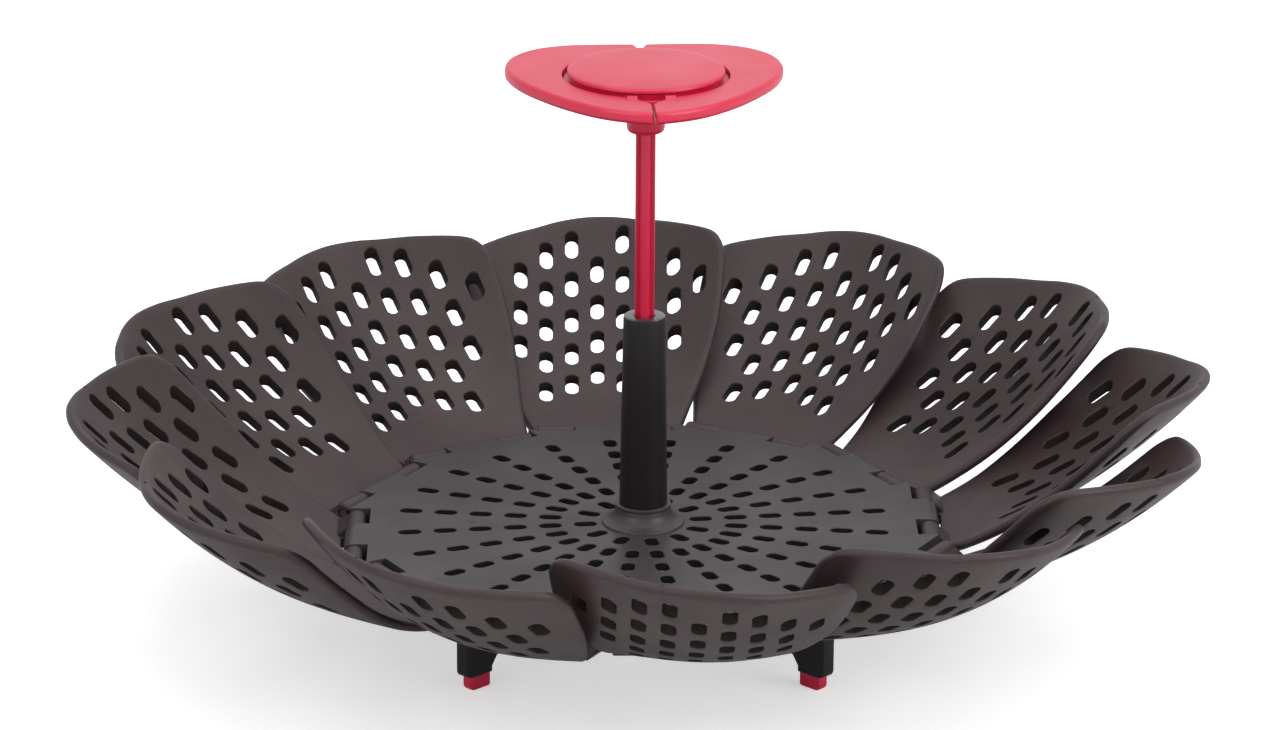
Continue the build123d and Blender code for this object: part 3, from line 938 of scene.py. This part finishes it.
@dataclass
class FloorPlate:
    """Slotted floor with a saw-tooth rim, skirt, boss, hinge tongues and leg sockets."""

    hinge: Hinge
    floor_top: float
    edge: float = 66.6
    tooth: float = 28.2
    thickness: float = 2.2
    skirt_wall: float = 1.8
    slot: SlotCutter = SlotCutter(width=3.3, length=5.6, rim=0.15, overrun=1.0)
    slot_pitch: float = 8.6
    first_ring: float = 14.18
    rings: int = 6
    rim: float = 0.4
    tongue_steps: int = 16
    tongue_corner_steps: int = 8
    # Smaller than a slot, so that no face has a hole in it
    cell: float = 4.1
    # The boss has a flat foot, a hollow flare and a lip: radii, and heights over the floor
    boss_foot: float = 10.1
    boss_height: float = 5.0
    bore: float = 5.05
    boss_rim: tuple[Point2, ...] = ((10.1, 0.25), (9.95, 0.48), (9.65, 0.58))
    boss_flare: tuple[Point2, ...] = ((9.2, 0.72), (8.0, 1.45), (7.0, 2.9), (6.65, 4.1))
    boss_lip: tuple[Point2, ...] = ((6.8, 4.45), (6.72, 4.85), (6.4, 5.0))
    flare_step: float = 0.45
    # The boss reaches this much into the floor's hole, and its foot keeps the painted shade of the slots' walls
    # off
    boss_seat: float = 0.02
    boss_clear: float = 0.5
    # Faces whose normals look up or down by less than this share are walls
    wall_turn: float = 0.5
    # Scars of the mould's gates: distance from the middle, lower and upper radius, height
    gate_place: float = 41.7
    gate: tuple[float, float, float] = (1.2, 0.9, 0.3)
    gate_steps: int = 20
    socket_near: float = 2.0
    socket_wall: float = 1.2
    socket_height: float = 2.4
    socket_inner: float = 53.3
    socket_outer: float = 61.7
    socket_rim: float = 0.2

    def outline(self, inset: float = 0.0) -> list[Point2]:
        """Saw-tooth plan of the rim.

        Args:
            inset: how far inside the outer face.

        Returns:
            Its corners, clockwise from the first side.
        """
        step = radians(360 / SIDES)
        foot = self.edge * sin(step) - self.tooth * cos(step)
        corners = []
        for k in range(SIDES):
            turn, y = step * k, self.edge - inset
            for x in (-self.tooth + inset / tan(step), foot - inset):
                corners.append((x * cos(turn) + y * sin(turn), y * cos(turn) - x * sin(turn)))
        return corners

    def slots(self) -> Shape:
        """Build the cutters of the floor's slots.

        Returns:
            The cutters.
        """
        tools = Shape()
        for ring in range(self.rings):
            # The innermost ring has room for half as many slots
            count = SIDES if ring == 0 else 2 * SIDES
            first = -90 / SIDES if ring == 0 else 90 / SIDES
            middle = self.first_ring + self.slot_pitch * ring
            for j in range(count):
                turn = Matrix.Rotation(-radians(first + 360 / count * j), 4, "Z")

                def place(x: float, y: float, rise: float, lower: bool) -> Vector:
                    """Put a point of the cutter over or under the floor's upper or lower face."""
                    return turn @ Vector((x, middle + y, self.floor_top - lower * self.thickness + rise))
                self.slot.add_to(tools, place)
        return tools

    def boss_ring(self) -> list[Point2]:
        """Section of the flared boss round the post.

        Returns:
            Radius and height pairs.
        """
        low = self.floor_top - self.thickness
        upper = [*self.boss_rim, *smooth_through(self.boss_flare, self.flare_step), *self.boss_lip,
                 (self.bore, self.boss_height)]
        return [(self.bore, low), (self.boss_foot, low)] + [(radius, self.floor_top + z) for radius, z in upper]

    def mesh(self) -> bpy.types.Mesh:
        """Build the whole plate.

        Returns:
            Its mesh.
        """
        low = self.floor_top - self.thickness
        floor = Shape()
        floor.prism(self.outline(), low, self.floor_top)
        floor = floor.cut_by(self.tongues(), "UNION")
        upper = [e for e in floor.sharp_edges(angle=60) if min(v.co.z for v in e.verts) > self.floor_top - NEAR]
        floor.rounded(upper, self.rim, SMALL)
        floor.divide(self.cell, self.edge + self.hinge.reach * 2)
        tools = self.slots()
        core = self.boss_foot - self.boss_seat
        bmesh.ops.create_cone(tools.bm, cap_ends=True, segments=TURNED_STEPS, radius1=core, radius2=core,
                              depth=2 * low, matrix=Matrix.Translation((0, 0, low)))
        floor = floor.cut_by(tools)
        inner, outer = self.boss_foot + self.boss_clear, self.edge - self.hinge.reach
        # The slots' walls get the second finish, a painted shade
        floor.mark(lambda face: abs(face.normal.z) < self.wall_turn
                   and inner < face.calc_center_median().xy.length < outer)
        skirt_low = self.floor_top - self.hinge.skirt_depth
        skirt = Shape()
        skirt.prism(self.outline(), skirt_low, low)
        well = Shape()
        well.prism(self.outline(self.skirt_wall), skirt_low - OVERRUN, low + OVERRUN)
        floor.take(skirt.cut_by(well))
        floor.take(self.fittings())
        floor.turned(self.boss_ring())
        return floor.as_mesh("plate")

    def tongues(self) -> Shape:
        """Build the twelve hinge tongues: flush with the floor, round at their outer ends and corners.

        Returns:
            The shape.
        """
        h = self.hinge
        radius, half = h.tongue_radius, h.tongue_width / 2
        start = -h.reach - self.skirt_wall / 2
        angles = [pi * n / self.tongue_steps for n in range(self.tongue_steps + 1)]
        section = [(start, -radius), (start, radius)] + [(radius * sin(a), radius * cos(a)) for a in angles]
        tongue = Shape()
        tongue.prism(section, -half - OVERRUN, half + OVERRUN, ALONG_X)
        plan = Shape()
        plan.prism(rounded_outline(
            [(-half, start - OVERRUN, 0), (half, start - OVERRUN, 0), (half, radius, h.tongue_corner),
             (-half, radius, h.tongue_corner)], self.tongue_corner_steps), -2 * radius, 2 * radius)
        tongue = tongue.cut_by(plan, "INTERSECT")
        tongue.rounded([e for e in tongue.sharp_edges(angle=60) if max(v.co.y for v in e.verts) > start + NEAR],
                       h.tongue_rim, SMALL)
        mesh = tongue.as_mesh("tongue")
        ring = Shape()
        for k in range(SIDES):
            known = set(ring.bm.verts)
            ring.bm.from_mesh(mesh)
            ring.move([v for v in ring.bm.verts if v not in known], side_frame(k))
        return ring

    def fittings(self) -> Shape:
        """Build pins, gate marks and leg sockets.

        Returns:
            The shape.
        """
        shape, h = Shape(), self.hinge
        low = self.floor_top - self.thickness
        wide, narrow, depth = self.gate
        for k in range(SIDES):
            shape.move(shape.rod_along_x(h.pin_radius, 2 * (h.root_half - h.pin_inset), Vector(), PIN_STEPS),
                       side_frame(k))
        for n in range(CORNERS):
            place = Matrix.Translation((self.gate_place, 0, self.floor_top))
            bmesh.ops.create_cone(shape.bm, cap_ends=True, segments=self.gate_steps, radius1=wide, radius2=narrow,
                                  depth=depth, matrix=Matrix.Rotation(pi / 2 * n, 4, "Z") @ place)
            turn = Matrix.Rotation(pi / 2 * (n + 0.5), 4, "Z")
            for side in (-1, 1):
                near, far = sorted((side * self.socket_near, side * (self.socket_near + self.socket_wall)))
                shape.move(shape.block(
                    Vector((self.socket_inner, near, low - self.socket_height)),
                    Vector((self.socket_outer, far, low + self.socket_rim)), self.socket_rim), turn)
        return shape

    def make(self, shop: Workshop) -> None:
        """Put the plate in the basket."""
        shop.piece(self.mesh(), "floor_plate", "base", Slot.PLATE, PLATE_NYLON, ["base_plate"], flat_level=True,
                   second=SLOT_WALL_PAINTED_SHADE)


@dataclass
class Handle:
    """Post, its ring, the ribbed rod and the round middle of the knob."""

    floor_top: float
    boss_height: float
    post_foot: float = 5.85
    post_top: float = 5.1
    tail: float = 5.0
    stop_bore: float = 3.6
    neck_bore: float = 2.5
    neck_length: float = 8.0
    # Small bevel of the turned pieces' edges, of the post's foot and of the stop foot
    edge: float = 0.3
    foot_edge: float = 0.25
    stop_edge: float = 0.4
    # Rounding of the post's top: distances inside its side and under its end
    top_round: tuple[Point2, ...] = ((0.0, 0.7), (0.1, 0.245), (0.35, 0.05), (0.7, 0.0))
    # Faces of the post's top that look up by more than this share get the polished finish with its painted
    # highlight
    polished_highlight_share: float = 0.3
    ring_radius: float = 8.2
    ring_fit: float = 0.05
    rod_radius: float = 2.4
    rod_rib: float = 1.8
    rib_steps: int = 6
    # The grooves' depth as a share of the inner corner's distance, and the angles of their points
    groove_share: float = 1.15
    groove_angles: tuple[float, ...] = (-0.35, 0.0, 0.35)
    stop_radius: float = 3.5
    stop_steps: int = 48
    rod_root: float = 0.5
    collar: float = 4.6
    # Rounding of the collar's lower end: distances inside its side and over its end
    collar_round: tuple[Point2, ...] = ((1.3, 0.0), (0.6, 0.2), (0.2, 0.6), (0.0, 1.3))
    collar_fillet: float = 0.6
    socket_depth: float = 8.0
    hub: float = 17.8
    hub_thickness: float = 3.3
    # The carrier's thin rim closes the view through the gap between the cap and the wings
    ledge: float = 19.85
    ledge_thickness: float = 2.0
    ledge_edge: float = 0.2
    ledge_rise: float = 0.1
    # Ears under the carrier that stop the wings, and the ribs that carry them
    ear_root: float = 14.0
    ear_reach: float = 21.5
    ear_half: float = 4.0
    ear_gap: float = 0.3
    ear_thickness: float = 1.2
    rib_reach: float = 17.5
    rib_depth: float = 1.0
    rib_seat: float = 0.5
    rib_edge: float = 0.1
    disc: float = 18.8
    disc_steps: int = 128
    # Rounding of the cap's upper edge: distances inside its side and under its top; then its slight crown
    disc_round: tuple[Point2, ...] = ((0.0, 0.85), (0.1, 0.6), (0.35, 0.42))
    crown: float = 0.35
    crown_shares: tuple[float, ...] = (0.95, 0.85, 0.7, 0.5, 0.25)
    spigot: float = 4.0
    spigot_depth: float = 1.2

    def make(self, shop: Workshop) -> None:
        """Put the handle in the basket.

        Args:
            shop: takes the pieces.
        """
        self.make_post(shop)
        self.make_rod(shop)
        self.make_hub(shop)
        self.make_cap(shop)

    def make_post(self, shop: Workshop) -> None:
        """Turn the post and the ring under the floor.

        Args:
            shop: takes the pieces.
        """
        low, top, edge = bottom_mm("post"), top_mm("post"), self.edge
        shoulder, stop = self.floor_top + self.boss_height, top - self.neck_length
        post = Shape()
        post.turned([
            (self.stop_bore, low), (self.tail - edge, low), (self.tail, low + edge), (self.tail, shoulder),
            (self.post_foot - self.foot_edge, shoulder), (self.post_foot, shoulder + self.foot_edge),
            ((self.post_foot + self.post_top) / 2, (shoulder + top) / 2),
            *((self.post_top - inset, top - drop) for inset, drop in self.top_round),
            (self.neck_bore + edge, top), (self.neck_bore, top - edge), (self.neck_bore, stop),
            (self.stop_bore, stop),
        ])
        polished = top - self.top_round[0][1]
        # The post's top gets the second finish: glossier, with a painted highlight in its lighter colour
        post.mark(lambda face: face.calc_center_median().z > polished and face.normal.z > self.polished_highlight_share)
        shop.piece(post.as_mesh("post"), "handle_post", "base", Slot.BLACK, BLACK_NYLON, ["post"],
                   second=POLISHED_NYLON_PAINTED_HIGHLIGHT)
        low, high = bottom_mm("post_retainer"), top_mm("post_retainer")
        inner, outer = self.tail + self.ring_fit, self.ring_radius
        ring = Shape()
        ring.turned([(inner, low), (outer - edge, low), (outer, low + edge), (outer, high - edge),
                     (outer - edge, high), (inner, high)])
        shop.piece(ring.as_mesh("ring"), "post_ring", "base", Slot.BLACK, BLACK_NYLON, ["post_retainer"])

    def rod_section(self) -> list[Point2]:
        """Section of the rod: a cross with round ends and soft grooves.

        Returns:
            Its corners.
        """
        half, outer = self.rod_rib / 2, self.rod_radius
        lead = atan2(half, outer)
        groove = half * 2 ** 0.5 * self.groove_share
        points = []
        for base in (pi / 2 * quarter for quarter in range(4)):
            angles = [base - lead + 2 * lead * step / self.rib_steps for step in range(self.rib_steps + 1)]
            points += [(outer * cos(a), outer * sin(a)) for a in angles]
            angles = [base + pi / 4 + side for side in self.groove_angles]
            points += [(groove * cos(a), groove * sin(a)) for a in angles]
        return points

    def make_rod(self, shop: Workshop) -> None:
        """Extrude the rod and turn its stop foot.

        Args:
            shop: takes the pieces.
        """
        low, top = bottom_mm("rod"), top_mm("rod")
        stop = top_mm("post") - self.neck_length
        outer, edge = self.stop_radius, self.stop_edge
        rod = Shape()
        rod.prism(self.rod_section(), stop - self.rod_root, top)
        rod.turned([(0, low), (outer - edge, low), (outer, low + edge), (outer, stop - edge),
                    (outer - edge, stop), (0, stop)], self.stop_steps)
        shop.piece(rod.as_mesh("rod"), "pull_rod", "handle", Slot.RED, RED_PLASTIC, ["rod"], smooth=50)

    def make_hub(self, shop: Workshop) -> None:
        """Turn the collar with the carrier, and add the ears.

        Args:
            shop: takes the pieces.
        """
        low, top, edge = bottom_mm("knob_hub"), top_mm("knob_hub"), self.edge
        under, floor = top - self.hub_thickness, top - self.spigot_depth
        step, socket = under + self.ledge_thickness, low + self.socket_depth
        hub = Shape()
        hub.turned([
            (self.rod_radius, low), *((self.collar - inset, low + rise) for inset, rise in self.collar_round),
            (self.collar, under - self.collar_fillet), (self.collar + self.collar_fillet, under),
            (self.ledge - edge, under), (self.ledge, under + edge), (self.ledge, step - self.ledge_edge),
            (self.ledge - self.ledge_edge, step), (self.hub, step + self.ledge_rise),
            (self.hub, top - edge), (self.hub - edge, top), (self.spigot, top), (self.spigot, floor),
            (0, floor), (0, socket), (self.rod_radius, socket),
        ])
        for turn in (0, pi):
            ear_top = under - self.ear_gap
            for far, bottom, upper, rim in (
                (self.ear_reach, ear_top - self.ear_thickness, ear_top, edge),
                (self.rib_reach, under - self.rib_depth, under + self.rib_seat, self.rib_edge),
            ):
                hub.move(hub.block(Vector((self.ear_root, -self.ear_half, bottom)),
                                   Vector((far, self.ear_half, upper)), rim), Matrix.Rotation(turn, 4, "Z"))
        shop.piece(hub.as_mesh("hub"), "knob_carrier", "handle", Slot.RED, RED_PLASTIC, ["knob_hub"],
                   knob_frame())

    def make_cap(self, shop: Workshop) -> None:
        """Turn the bare cap.

        Args:
            shop: takes the pieces.
        """
        seat, top = top_mm("knob_hub"), top_mm("knob_disc")
        cap = Shape()
        cap.turned([
            (0, seat - self.spigot_depth), (self.spigot, seat - self.spigot_depth), (self.spigot, seat),
            (self.disc - self.edge, seat), (self.disc, seat + self.foot_edge),
            *((self.disc - inset, top - drop) for inset, drop in self.disc_round),
            *((self.disc * share, top - self.crown * share ** 2) for share in self.crown_shares), (0, top),
        ], self.disc_steps)
        shop.piece(cap.as_mesh("cap"), "knob_cap", "handle", Slot.RED, RED_PLASTIC, ["knob_disc"], knob_frame())


def knob_frame() -> Matrix:
    """Turn of the knob, which stands askew by its play, from its hinge axis."""
    axis = Vector(joint("wing_right_fold")["axis"])
    return Matrix.Rotation(atan2(axis.x, -axis.y), 4, "Z")


@dataclass
class HeartKnob:
    """The two halves of the heart round the cap."""

    thickness: float = 3.0
    cutout: float = 20.0
    cutout_steps: int = 64
    half_width: float = 33.3
    front: float = 33.0
    slit: float = 0.4
    slit_length: float = 8.0
    back_gap: float = 1.1
    back_share: float = 0.818
    outline_step: float = 0.9
    corner: float = 0.9
    corner_steps: int = 5
    rim: float = 0.9
    inner_rim: float = 0.25
    # The edges within these distances of the cut-out and of the slit count as their own
    inner_margin: float = 0.3
    slit_margin: float = 0.05
    # Wedge-shaped pad over the front hinge: distances outside the cut-out and heights over the wing
    pad_width: float = 2.4
    pad: tuple[Point2, ...] = ((-0.2, -0.4), (-0.2, 0.45), (0.8, 0.45), (3.2, -0.05), (3.2, -0.4))
    # Lugs and pins of the hinge: radius, length and distance from the knob's middle
    lug: tuple[float, float, float] = (1.1, 2.0, 20.5)
    lug_rim: float = 0.25
    pin: tuple[float, float, float] = (0.9, 5.5, 18.2)
    # Outer edge of the right half from the front tip: shares of the half width and of the front reach
    outline_shares: tuple[Point2, ...] = (
        (0.15, -0.967), (0.336, -0.876), (0.51, -0.727), (0.688, -0.515), (0.865, -0.233), (0.961, 0.0),
        (1.0, 0.242), (0.946, 0.5), (0.781, 0.706), (0.54, 0.809), (0.24, 0.824))

    @property
    def ends(self) -> tuple[Point2, Point2]:
        """Ends of the outer edge: at the slit and at the notch in the back."""
        return (self.slit, -self.front), (self.back_gap, self.back_share * self.front)

    def outline(self, axis_x: float) -> list[Point2]:
        """Plan of the right half.

        Args:
            axis_x: distance of the fold axis from the middle.

        Returns:
            Its corners.
        """
        tip, back = self.ends
        shares = [(x * self.half_width, y * self.front) for x, y in self.outline_shares]
        edge = smooth_through([tip, *shares, back], self.outline_step)
        start = atan2((self.cutout ** 2 - self.slit ** 2) ** 0.5, self.slit)
        finish = -atan2((self.cutout ** 2 - axis_x ** 2) ** 0.5, axis_x)
        turns = [start + (finish - start) * step / self.cutout_steps for step in range(self.cutout_steps + 1)]
        arc = [(self.cutout * cos(turn), self.cutout * sin(turn)) for turn in turns]
        return edge + arc + [(self.slit, self.slit_length - self.front)]

    def round_edges(self, wing: Shape) -> None:
        """Round the outer edge well, break the one round the cap and leave the slit's sharp.

        Args:
            wing: the half to round.
        """
        wing.rounded([e for e in wing.bm.edges if abs(e.verts[0].co.z - e.verts[1].co.z) > TINY
                      and min(dist(e.verts[0].co.xy, end) for end in self.ends) < NEAR],
                     self.corner, self.corner_steps)
        for inner, width in ((False, self.rim), (True, self.inner_rim)):
            chosen = []
            for edge in wing.sharp_edges(angle=80):
                level = abs(edge.verts[0].co.z - edge.verts[1].co.z) < TINY
                off_slit = max(v.co.x for v in edge.verts) > self.slit + self.slit_margin
                at_cap = min(v.co.xy.length for v in edge.verts) < self.cutout + self.inner_margin
                if level and off_slit and inner == at_cap:
                    chosen.append(edge)
            wing.rounded(chosen, width, FINE, clamp=False)

    def half(self, low: float, pivot: Vector) -> Shape:
        """Build the right half.

        Args:
            low: height of its underside.
            pivot: a place on its fold axis.

        Returns:
            The shape.
        """
        wing = Shape()
        wing.prism(self.outline(pivot.x), low, low + self.thickness)
        self.round_edges(wing)
        pad = [(-self.cutout - reach, low + self.thickness + rise) for reach, rise in self.pad]
        wing.prism(pad, pivot.x - self.pad_width / 2, pivot.x + self.pad_width / 2, ALONG_X)
        along_y = Matrix.Rotation(pi / 2, 4, "Z")
        for end in (-1, 1):
            for (radius, length, away), rim in ((self.lug, self.lug_rim), (self.pin, 0.0)):
                wing.move(wing.rod_along_x(radius, length, Vector(), PIN_STEPS, rim),
                          Matrix.Translation((pivot.x, end * away, pivot.z)) @ along_y)
        return wing

    def make(self, shop: Workshop) -> None:
        """Put both halves on the hub.

        Args:
            shop: takes the pieces.
        """
        turn = knob_frame()
        pivot = turn.inverted() @ (Vector(joint("wing_right_fold")["pos_m"]) / MM)
        for side, name in ((1, "wing_right"), (-1, "wing_left")):
            wing = self.half(bottom_mm("wing_right"), pivot)
            if side < 0:
                bmesh.ops.scale(wing.bm, vec=(-1, 1, 1), verts=wing.bm.verts)
                bmesh.ops.reverse_faces(wing.bm, faces=wing.bm.faces)
            shop.piece(wing.as_mesh(name), f"{name}_half", name, Slot.RED, RED_PLASTIC, [name], turn,
                       flat_level=True)


@dataclass
class Stand:
    """Four stepped legs with coloured feet."""

    floor_low: float
    outer: float = 61.7
    length: float = 8.4
    thickness: float = 3.8
    rim: float = 0.45
    gap: float = 3.6
    corner: float = 1.6
    riser: float = 1.4
    # The steps inside a leg: height, slant and tread of each, and the rounding of their corners
    steps: int = 3
    rise: float = 2.4
    slant: float = 1.68
    tread: float = 0.72
    step_corner: float = 0.3
    foot_inset: float = 1.6
    foot_length: float = 6.6
    foot_width: float = 2.8
    foot_rim: float = 0.4
    foot_corner: float = 1.5
    foot_inner_corner: float = 0.6
    plug_inset: float = 0.5
    plug_height: float = 3.0
    plug_root: float = 0.1

    def leg_section(self) -> list[Point2]:
        """Section of a leg: radius and height pairs.

        Returns:
            Its corners.
        """
        x, z, small = self.outer - self.length, self.gap + self.riser, self.step_corner
        places = [(self.outer, self.floor_low, 0), (self.outer, self.gap, self.corner), (x, self.gap, small),
                  (x, z, small)]
        for _ in range(self.steps):
            x, z = x - self.slant, z + self.rise
            places += [(x, z, small), (x - self.tread, z, small)]
            x -= self.tread
        return rounded_outline(places + [(x, self.floor_low, 0)], FINE)

    def foot(self) -> bpy.types.Mesh:
        """Build a foot with the plug that holds it in the leg.

        Returns:
            Its mesh.
        """
        outer = self.outer - self.foot_inset
        inner, width = outer - self.foot_length, self.foot_width / 2
        foot = Shape()
        places = [(outer, self.gap, 0), (inner, self.gap, 0), (inner, 0, self.foot_inner_corner),
                  (outer, 0, self.foot_corner)]
        foot.prism(rounded_outline(places), -width, width)
        foot.rounded(foot.sharp_edges(angle=70), self.foot_rim, SMALL)
        outer, inner, width = outer - self.plug_inset, inner + self.plug_inset, width - self.plug_inset
        low, high = self.gap - self.plug_root, self.gap + self.plug_height
        foot.prism([(outer, low), (outer, high), (inner, high), (inner, low)], -width, width)
        return foot.as_mesh("foot")

    def make(self, shop: Workshop) -> None:
        """Put legs and feet under the floor.

        Args:
            shop: takes the pieces.
        """
        upright = Matrix.Rotation(pi / 2, 4, "X")
        leg = Shape()
        leg.prism(self.leg_section(), -self.thickness / 2, self.thickness / 2)
        leg.rounded(leg.sharp_edges(angle=70), self.rim, SMALL)
        leg_mesh, foot_mesh = leg.as_mesh("leg"), self.foot()
        for n in range(CORNERS):
            place = Matrix.Rotation(pi / 2 * (n + 0.5), 4, "Z") @ upright
            shop.piece(leg_mesh, f"leg_{n + 1}_blade", "base", Slot.BLACK, BLACK_NYLON, [f"leg_{n + 1}"], place)
            shop.piece(foot_mesh, f"foot_{n + 1}_pad", "base", Slot.RED, RED_PLASTIC, [f"foot_{n + 1}"], place)


@dataclass
class Studio:
    """Camera, soft lights and a white floor."""

    floor_top: float
    distance: float = 1404.0
    elevation: float = 20.38
    azimuth: float = 181.04
    roll: float = 0.39
    focal_px: float = 5756.0
    image_width: float = 1280.0
    image_height: float = 730.0
    # Pixel of the photograph at which the middle of the floor lies
    middle_px: Point2 = (643.1, 521.1)
    # What the floor adds to the eye's view, so that it is white where the basket casts no shadow
    floor_lift: float = 0.45
    floor_half: float = 6000.0
    floor_colour: str = "#f4f4f4"
    world_light: float = 0.6
    # Soft lights: name, place and edge in metres, and power in watts; all look at the basket
    aim: tuple[float, float, float] = (0.0, 0.0, 0.05)
    lamps: tuple[tuple[str, tuple[float, float, float], float, float], ...] = (
        ("overhead", (0.1, 0.0, 1.7), 1.8, 13.0),
        ("front_left", (-1.2, -1.3, 1.0), 1.2, 10.0),
        ("front_right", (1.4, -0.9, 0.9), 1.2, 17.0))

    def camera(self) -> None:
        """Put the camera where the photograph was taken from."""
        e, a = radians(self.elevation), radians(self.azimuth)
        target = Vector((0, 0, self.floor_top)) * MM
        away = Vector((cos(e) * sin(a), cos(e) * cos(a), sin(e)))
        ahead = -away
        right = ahead.cross(Vector((0, 0, 1))).normalized()
        up = right.cross(ahead)
        r = radians(self.roll)
        right, up = right * cos(r) + up * sin(r), up * cos(r) - right * sin(r)
        off_x = (self.middle_px[0] - self.image_width / 2) / self.focal_px
        off_y = (self.middle_px[1] - self.image_height / 2) / self.focal_px
        look = (ahead + up * off_y - right * off_x).normalized()
        right = (right - look * right.dot(look)).normalized()
        up = right.cross(look)
        data = bpy.data.cameras.new("camera")
        data.lens = self.focal_px / self.image_width * data.sensor_width
        data.clip_end = 100.0
        obj = bpy.data.objects.new("camera", data)
        obj.matrix_world = Matrix.Translation(target + away * self.distance * MM) @ Matrix(
            (right, up, -look)).transposed().to_4x4()
        bpy.context.scene.collection.objects.link(obj)
        bpy.context.scene.camera = obj

    def lamp(self, name: str, place: Vector, size: float, watts: float) -> None:
        """Add a square soft light.

        Args:
            name: its name.
            place: where it hangs, in metres.
            size: its edge in metres.
            watts: its power.
        """
        data = bpy.data.lights.new(name, "AREA")
        data.shape = "SQUARE"
        data.size = size
        data.energy = watts
        obj = bpy.data.objects.new(name, data)
        obj.location = place
        obj.rotation_mode = "QUATERNION"
        obj.rotation_quaternion = (Vector(self.aim) - place).to_track_quat("-Z", "Y")
        bpy.context.scene.collection.objects.link(obj)

    def world(self) -> None:
        """White surroundings: full white to the eye and in gloss, softer as light."""
        world = bpy.data.worlds.new("studio")
        world.use_nodes = True
        tree = world.node_tree
        tree.nodes.clear()
        path = add_node(tree, "LightPath")
        seen = path.outputs["Is Camera Ray"]
        for kind in ("Is Glossy Ray", "Is Transmission Ray"):
            either = add_node(tree, "Math", {"operation": "MAXIMUM"})
            tree.links.new(seen, either.inputs[0])
            tree.links.new(path.outputs[kind], either.inputs[1])
            seen = either.outputs["Value"]
        strength = add_node(tree, "MapRange", Value=seen, To_Min=self.world_light, To_Max=1.0)
        back = add_node(tree, "Background", Color=(1.0, 1.0, 1.0, 1.0), Strength=strength.outputs["Result"])
        add_node(tree, "OutputWorld", Surface=back.outputs["Background"])
        bpy.context.scene.world = world

    def floor(self) -> None:
        """Lay a white floor that keeps the basket's shadow."""
        shape = Shape()
        bmesh.ops.create_grid(shape.bm, x_segments=4, y_segments=4, size=self.floor_half)
        mesh = shape.as_mesh("studio_floor")
        mesh.transform(Matrix.Scale(MM, 4))
        made = bpy.data.materials.new("white_floor")
        made.use_nodes = True
        tree = made.node_tree
        tree.nodes.clear()
        paper = add_node(tree, "BsdfPrincipled", Base_Color=linear(self.floor_colour), Roughness=0.9)
        path = add_node(tree, "LightPath")
        lift = add_node(tree, "MapRange", Value=path.outputs["Is Camera Ray"], To_Max=self.floor_lift)
        glow = add_node(tree, "Emission", Color=(1.0, 1.0, 1.0, 1.0), Strength=lift.outputs["Result"])
        both = add_node(tree, "AddShader")
        tree.links.new(paper.outputs["BSDF"], both.inputs[0])
        tree.links.new(glow.outputs["Emission"], both.inputs[1])
        add_node(tree, "OutputMaterial", Surface=both.outputs["Shader"])
        mesh.materials.append(made)
        obj = bpy.data.objects.new("studio_floor", mesh)
        bpy.context.scene.collection.objects.link(obj)
        obj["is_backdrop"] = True

    def make(self) -> None:
        """Set up the whole studio."""
        bpy.context.scene.view_settings.view_transform = "Standard"
        self.camera()
        self.world()
        self.floor()
        for name, place, size, watts in self.lamps:
            self.lamp(name, Vector(place), size, watts)


def corners(box: tuple[Vector, Vector]) -> list[list[float]]:
    """Turn a box into plain lists."""
    return [list(map(float, corner)) for corner in box]


def main() -> None:
    """Build the basket's looks round the frame."""
    logging.basicConfig(level=logging.INFO, format="%(message)s")
    cad_box = corners(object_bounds())
    shop = Workshop()
    hinge = Hinge()
    floor_top = joint("petal_01_hinge")["pos_m"][2] / MM + hinge.tongue_radius
    plate = FloorPlate(hinge, floor_top)
    Studio(floor_top).make()
    plate.make(shop)
    Petal(hinge).make(shop)
    Handle(floor_top, plate.boss_height).make(shop)
    HeartKnob().make(shop)
    Stand(floor_top - plate.thickness).make(shop)
    LOG.info("%d pieces", shop.done)
    {"cad": cad_box, "visual": corners(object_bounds())}


if __name__ == "__main__":
    main()
